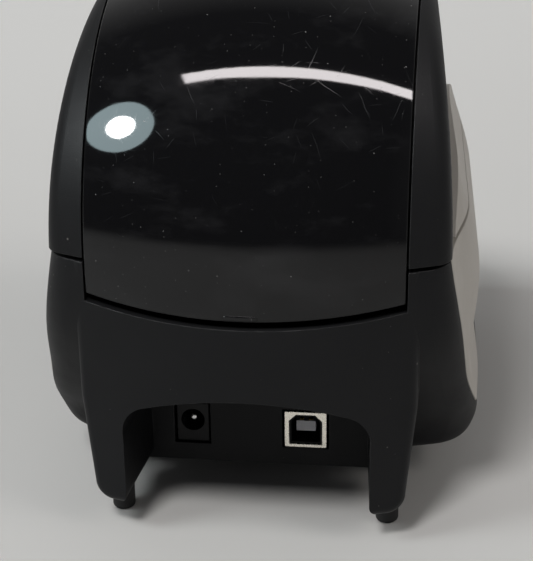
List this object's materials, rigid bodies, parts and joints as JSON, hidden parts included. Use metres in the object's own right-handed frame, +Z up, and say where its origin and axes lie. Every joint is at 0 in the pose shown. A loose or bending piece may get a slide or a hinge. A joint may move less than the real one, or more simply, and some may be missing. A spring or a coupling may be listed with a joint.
{
  "type": "thermal label printer",
  "caption": "Desktop thermal label printer with a domed hinged lid and glossy window, grey side wings, inner spool and print mechanism, and a rear cable recess.",
  "frame": {"origin": "on the table under the middle of the printer's outer box", "axes": "+Z up, +Y towards the back with the sockets, +X to the left of someone facing the back"},
  "size_m": [0.1238, 0.1872, 0.15],
  "materials": {
    "window_gloss": "polished black window band",
    "shell_black": "fine-grained charcoal black",
    "wing_grey": "smooth warm grey",
    "front_panel": "satin dark panel",
    "button_grey": "smooth warm grey",
    "light_green": "clear green light pipe",
    "board_green": "solder mask green",
    "chip_black": "moulded black package",
    "can_metal": "drawn can",
    "inner_black": "plain moulded black",
    "steel": "bare steel",
    "rubber_black": "soft black rubber",
    "spool_grey": "mid grey moulding",
    "socket_black": "black socket body",
    "tongue_grey": "pale grey tongue",
    "usb_metal": "plated socket shell",
    "pin_metal": "plated contact pin",
    "bush_brass": "sintered bush",
    "contact_gold": "gilded contacts",
    "gear_white": "natural white gear plastic",
    "motor_metal": "dark plated can",
    "head_ceramic": "glazed heating strip",
    "sink_metal": "extruded aluminium",
    "lever_blue": "blue touch-point plastic"
  },
  "bodies": {
    "housing": {"main_housing": "shell_black", "wing_left": "wing_grey", "wing_right": "wing_grey", "front_plate": "front_panel", "status_light": "light_green", "front_board": "board_green", "button_switch": "chip_black", "floor_plate": "inner_black", "floor_screws": "steel", "rear_feet": "rubber_black", "front_feet": "rubber_black", "roll_trough": "inner_black", "main_board": "board_green", "dc_jack": "socket_black", "dc_jack_pin": "pin_metal", "usb_shell": "usb_metal", "usb_insert": "socket_black", "usb_tongue": "tongue_grey", "usb_contacts": "contact_gold", "board_chips": "chip_black", "board_capacitors": "can_metal", "exit_deck": "inner_black", "tear_bar": "steel", "platen_bushes": "bush_brass", "idler_stud": "steel", "motor": "motor_metal", "mech_side_left": "steel", "mech_side_right": "steel", "mech_crossbars": "steel", "head_pivot_rod": "steel", "label_chute": "inner_black", "lever_pin": "steel"},
    "lid": {"lid_window": "window_gloss", "lid_frame": "shell_black", "hinge_pin_left": "steel", "hinge_pin_right": "steel", "lid_cheek_left": "wing_grey", "lid_cheek_right": "wing_grey"},
    "spool": {"spool_spindle": "spool_grey"},
    "spool_guide": {"spool_guide": "spool_grey"},
    "platen": {"platen_shaft": "steel", "platen_roller": "rubber_black", "platen_gear": "gear_white"},
    "idler": {"idler_gear": "gear_white"},
    "motor_rotor": {"motor_pinion": "gear_white", "motor_shaft": "steel"},
    "head": {"print_head": "head_ceramic", "head_heatsink": "sink_metal"},
    "lever": {"release_lever": "lever_blue"},
    "edge_guide": {"label_edge_guide": "lever_blue"},
    "button": {"feed_button": "button_grey"}
  },
  "joints": [
    {"name": "lid_hinge", "type": "hinge", "parent": "housing", "child": "lid", "pos_m": [0, 0.0845, 0.0813], "axis": [-1, 0, 0], "range_deg": [0, 75]},
    {"name": "spool_spin", "type": "hinge", "parent": "lid", "child": "spool", "pos_m": [0, 0.0195, 0.076], "axis": [1, 0, 0], "continuous": true},
    {"name": "spool_guide_slide", "type": "slide", "parent": "spool", "child": "spool_guide", "axis": [1, 0, 0], "range_m": [0, 0.04]},
    {"name": "platen_spin", "type": "hinge", "parent": "housing", "child": "platen", "pos_m": [0, -0.04742, 0.06834], "axis": [1, 0, 0], "continuous": true},
    {"name": "idler_spin", "type": "hinge", "parent": "housing", "child": "idler", "pos_m": [0.0405, -0.04668, 0.04423], "axis": [1, 0, 0], "continuous": true},
    {"name": "motor_spin", "type": "hinge", "parent": "housing", "child": "motor_rotor", "pos_m": [0.0405, -0.052, 0.024], "axis": [1, 0, 0], "continuous": true},
    {"name": "release_lever_turn", "type": "hinge", "parent": "housing", "child": "lever", "pos_m": [-0.04, -0.036, 0.056], "axis": [-1, 0, 0], "range_deg": [0, 25]},
    {"name": "head_release", "type": "hinge", "parent": "housing", "child": "head", "pos_m": [0, -0.05516, 0.04708], "axis": [1, 0, 0], "range_deg": [0, 4]},
    {"name": "edge_guide_slide", "type": "slide", "parent": "housing", "child": "edge_guide", "axis": [-1, 0, 0], "range_m": [0, 0.036]},
    {"name": "feed_button_press", "type": "slide", "parent": "housing", "child": "button", "axis": [0, 1, 0], "range_m": [0, 0.0008], "stiffness_N_per_m": 1000}
  ],
  "couplings": [
    {"joint": "idler_spin", "follows": "platen_spin", "ratio": -0.5},
    {"joint": "motor_spin", "follows": "platen_spin", "ratio": 1.6667},
    {"joint": "head_release", "follows": "release_lever_turn", "ratio": 0.16}
  ]
}
